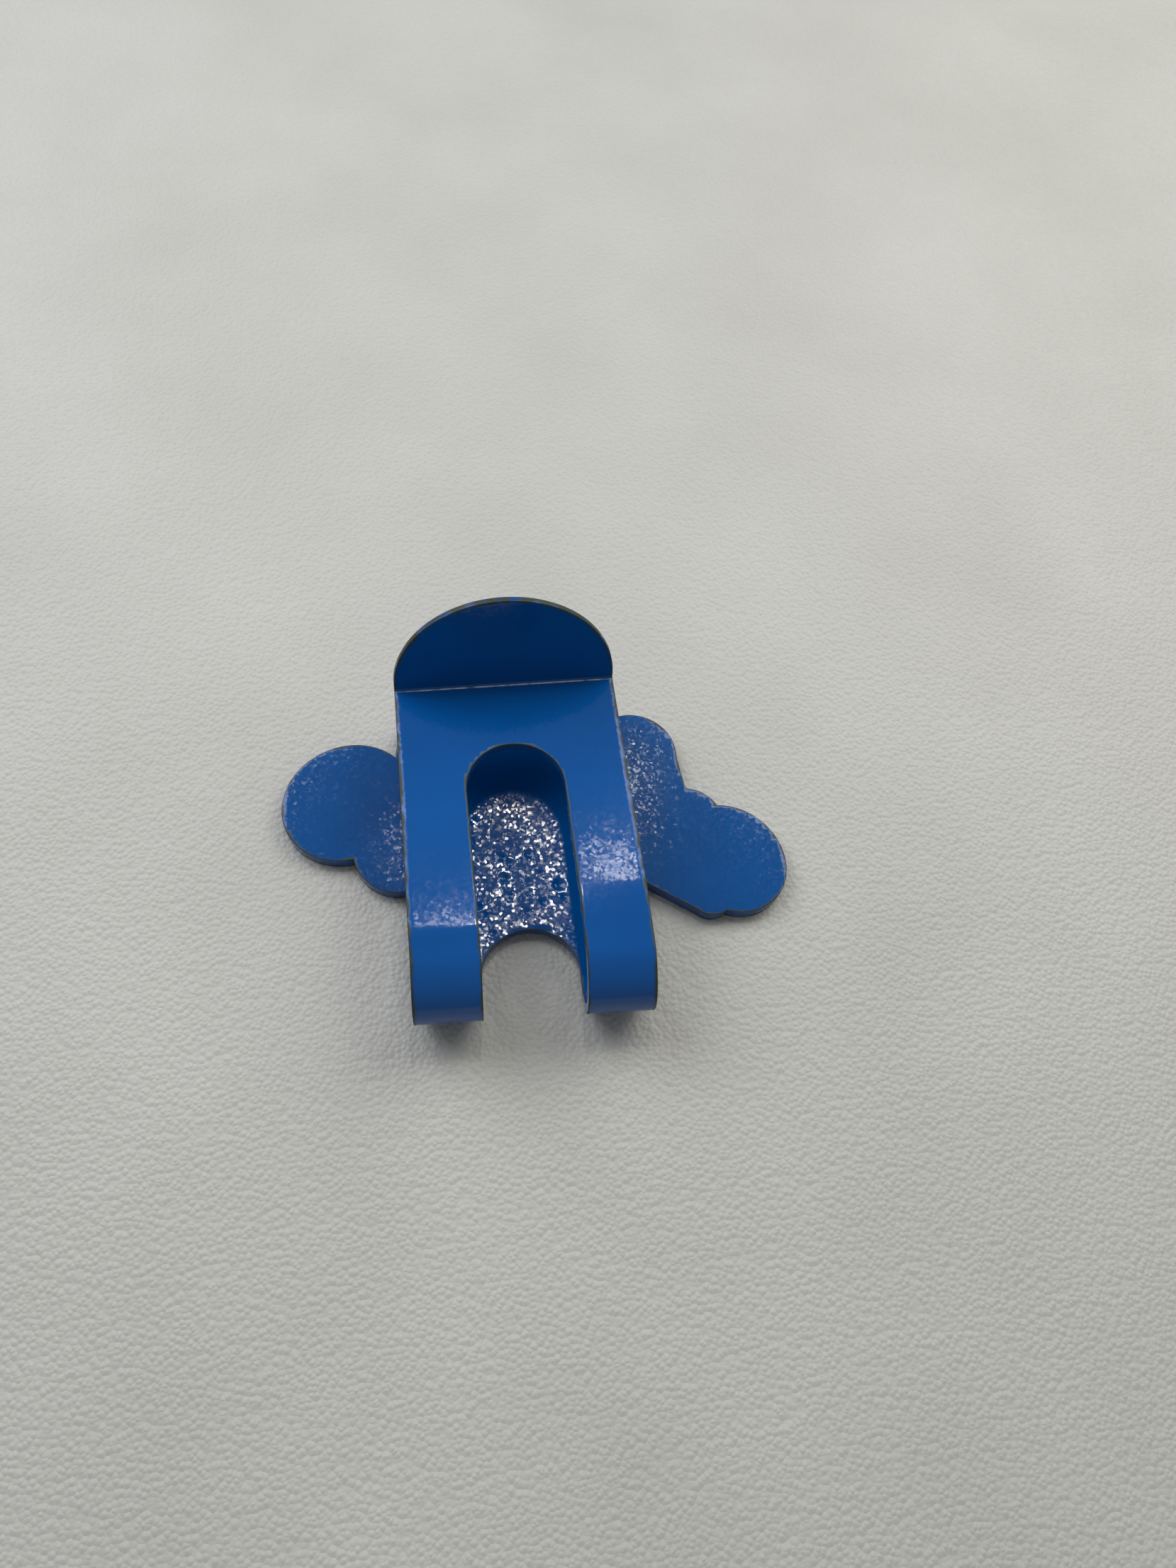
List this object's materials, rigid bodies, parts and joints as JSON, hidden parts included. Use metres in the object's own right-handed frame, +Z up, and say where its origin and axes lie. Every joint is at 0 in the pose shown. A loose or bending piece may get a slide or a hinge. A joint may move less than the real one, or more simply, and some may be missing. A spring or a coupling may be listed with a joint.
{
  "type": "spring clip",
  "caption": "Cloud-shaped metal badge clip: a slotted spring tongue folded back over the badge, with an upturned half-round thumb tab.",
  "frame": {"origin": "on the badge's raised front rim, in the middle of its lower edge, on the spring's centre line", "axes": "+Z up, away from the badge's front face; +Y along the spring from the fold to the thumb tab; +X across the spring"},
  "size_m": [0.0354, 0.0271, 0.0131],
  "materials": {
    "blue_lacquer": "gloss lacquer, thin at the edges",
    "white_enamel": "gloss enamel",
    "sky_enamel": "gloss enamel"
  },
  "bodies": {
    "badge": {"cloud_plate": "blue_lacquer", "spring_leg_left": "blue_lacquer", "spring_leg_right": "blue_lacquer", "enamel_left": "white_enamel", "enamel_right": "white_enamel", "enamel_middle": "white_enamel", "enamel_shoulder": "sky_enamel", "enamel_crown": "sky_enamel", "enamel_foot": "sky_enamel", "enamel_slope": "sky_enamel"},
    "arm": {"clip_arm": "blue_lacquer"}
  },
  "joints": [
    {"name": "arm_flex", "type": "hinge", "parent": "badge", "child": "arm", "pos_m": [0, -0.00895, 0.00355], "axis": [1, 0, 0], "range_deg": [-7, 10], "stiffness_Nm_per_rad": 1.6, "deforming": ["spring_leg_left", "spring_leg_right"]}
  ]
}
